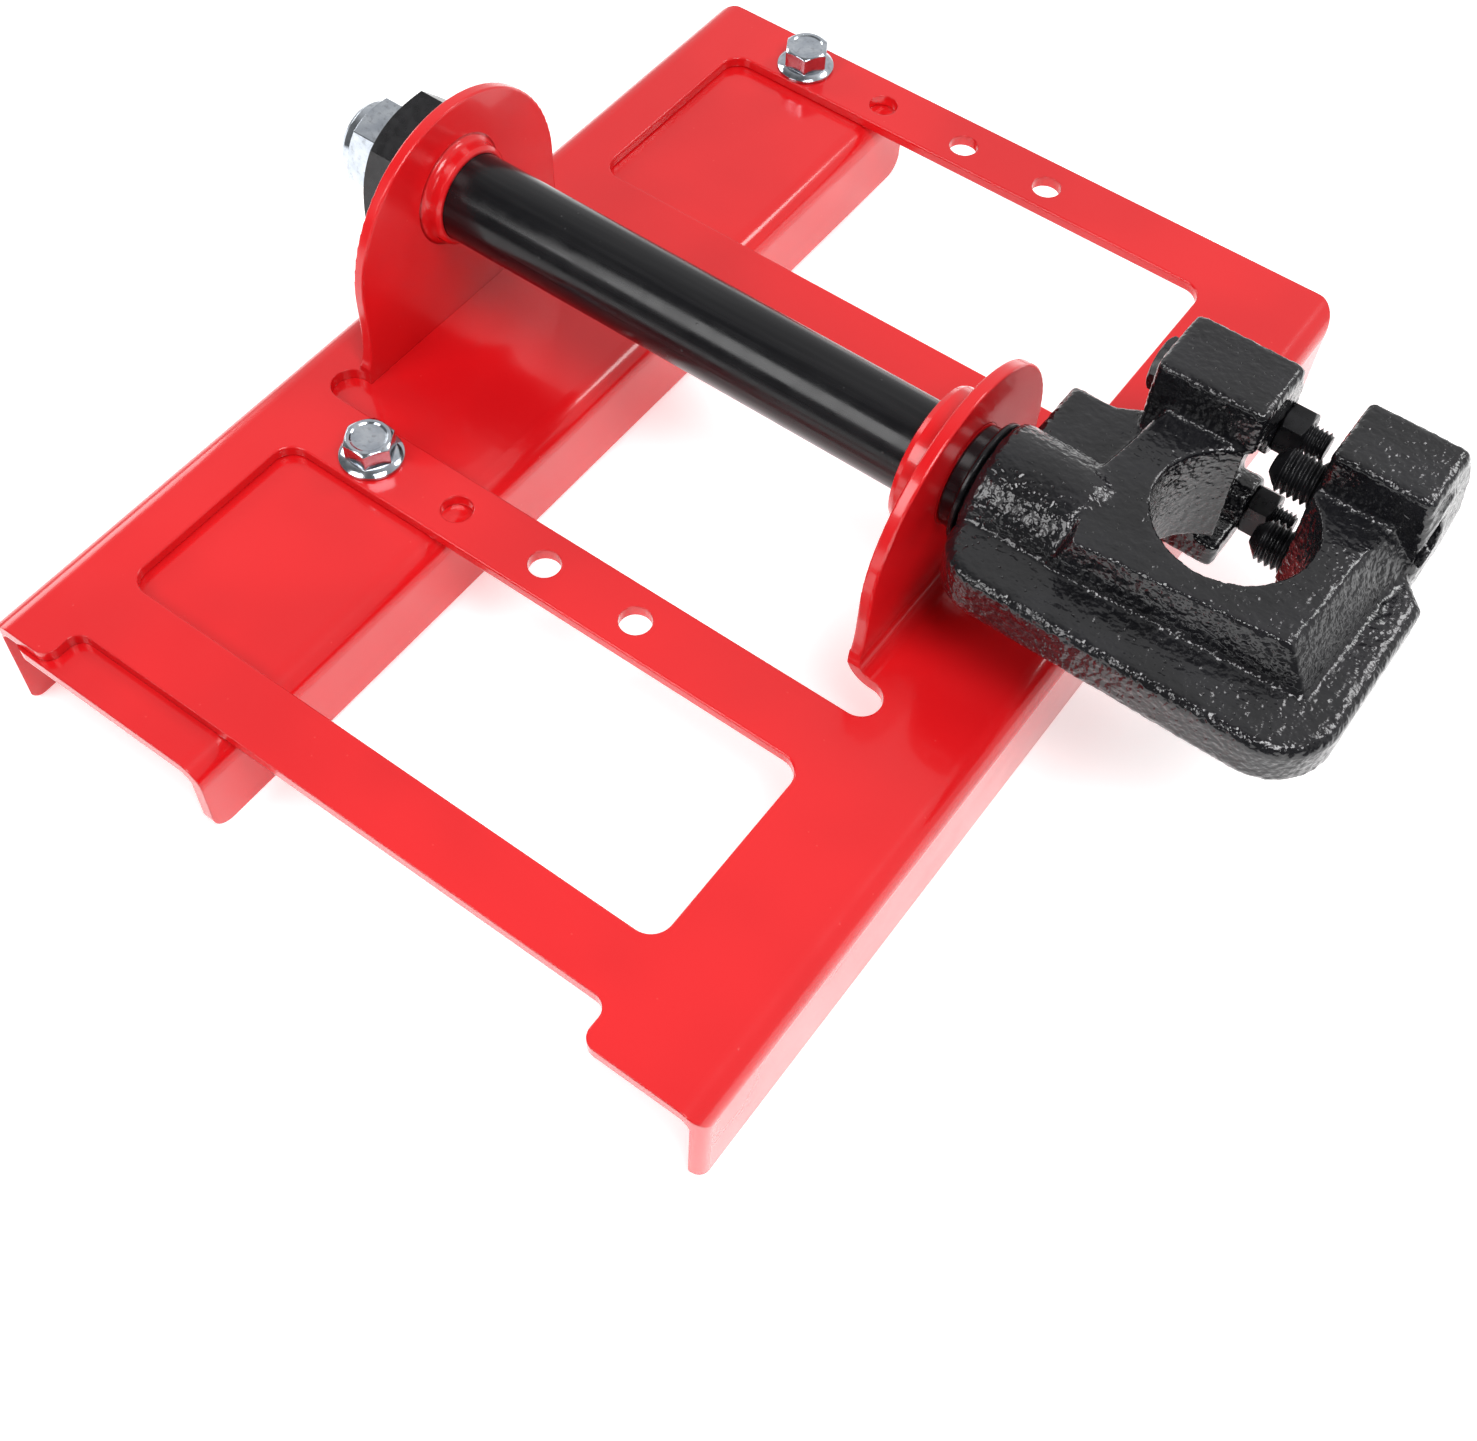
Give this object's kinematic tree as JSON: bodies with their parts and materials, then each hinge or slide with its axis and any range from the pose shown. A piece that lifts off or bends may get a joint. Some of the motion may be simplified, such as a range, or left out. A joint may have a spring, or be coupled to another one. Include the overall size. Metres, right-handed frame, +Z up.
{
  "type": "lumber cutting guide",
  "caption": "Folded sheet bracket that rides on a timber rail, with an adjustable guide plate and a cast clamp that swings on a shaft to grip a saw bar.",
  "frame": {"origin": "plan centre of the folded bracket, level with the foot of its side flanges", "axes": "+X from the lock nut towards the cast clamp, along the shaft; +Y along the timber rail; +Z up from the rail"},
  "size_m": [0.309, 0.316, 0.102],
  "materials": {
    "red_powder_coat": "glossy powder coat",
    "black_cast_paint": "glossy paint on rough sand casting",
    "black_shaft": "satin black paint",
    "black_oxide": "black oxide",
    "zinc_plate": "bright zinc plate",
    "nylon": "natural nylon"
  },
  "bodies": {
    "bracket": {"main_bracket": "red_powder_coat", "guide_plate": "red_powder_coat", "left_bush": "red_powder_coat", "right_bush": "red_powder_coat", "width_bolt_front": "zinc_plate", "width_bolt_rear": "zinc_plate", "width_nut_front": "zinc_plate", "width_nut_rear": "zinc_plate"},
    "clamp_arm": {"pivot_shaft": "black_shaft", "thrust_washer": "black_shaft", "pivot_jam_nut": "black_oxide", "pivot_lock_nut": "zinc_plate", "lock_nut_insert": "nylon", "clamp_body": "black_cast_paint", "hub_grub_screw": "black_oxide"},
    "clamp_bolt_upper": {"clamp_bolt_upper": "black_oxide"},
    "clamp_jam_nut_upper": {"clamp_jam_nut_upper": "black_oxide"},
    "set_screw_upper": {"set_screw_upper": "black_oxide"},
    "clamp_bolt_lower": {"clamp_bolt_lower": "black_oxide"},
    "clamp_jam_nut_lower": {"clamp_jam_nut_lower": "black_oxide"},
    "set_screw_lower": {"set_screw_lower": "black_oxide"}
  },
  "joints": [
    {"name": "clamp_swing", "type": "hinge", "parent": "bracket", "child": "clamp_arm", "pos_m": [0, 0.006, 0.073], "axis": [1, 0, 0], "range_deg": [-6, 188]},
    {"name": "clamp_bolt_upper_travel", "type": "slide", "parent": "clamp_arm", "child": "clamp_bolt_upper", "axis": [-1, 0, 0], "range_m": [0, 0.01]},
    {"name": "clamp_nut_upper_travel", "type": "slide", "parent": "clamp_arm", "child": "clamp_jam_nut_upper", "axis": [1, 0, 0], "range_m": [0, 0.005]},
    {"name": "set_screw_upper_travel", "type": "slide", "parent": "clamp_arm", "child": "set_screw_upper", "axis": [1, 0, 0], "range_m": [-0.002, 0.012]},
    {"name": "clamp_bolt_lower_travel", "type": "slide", "parent": "clamp_arm", "child": "clamp_bolt_lower", "axis": [-1, 0, 0], "range_m": [0, 0.01]},
    {"name": "clamp_nut_lower_travel", "type": "slide", "parent": "clamp_arm", "child": "clamp_jam_nut_lower", "axis": [1, 0, 0], "range_m": [0, 0.005]},
    {"name": "set_screw_lower_travel", "type": "slide", "parent": "clamp_arm", "child": "set_screw_lower", "axis": [1, 0, 0], "range_m": [-0.004, 0.012]}
  ]
}
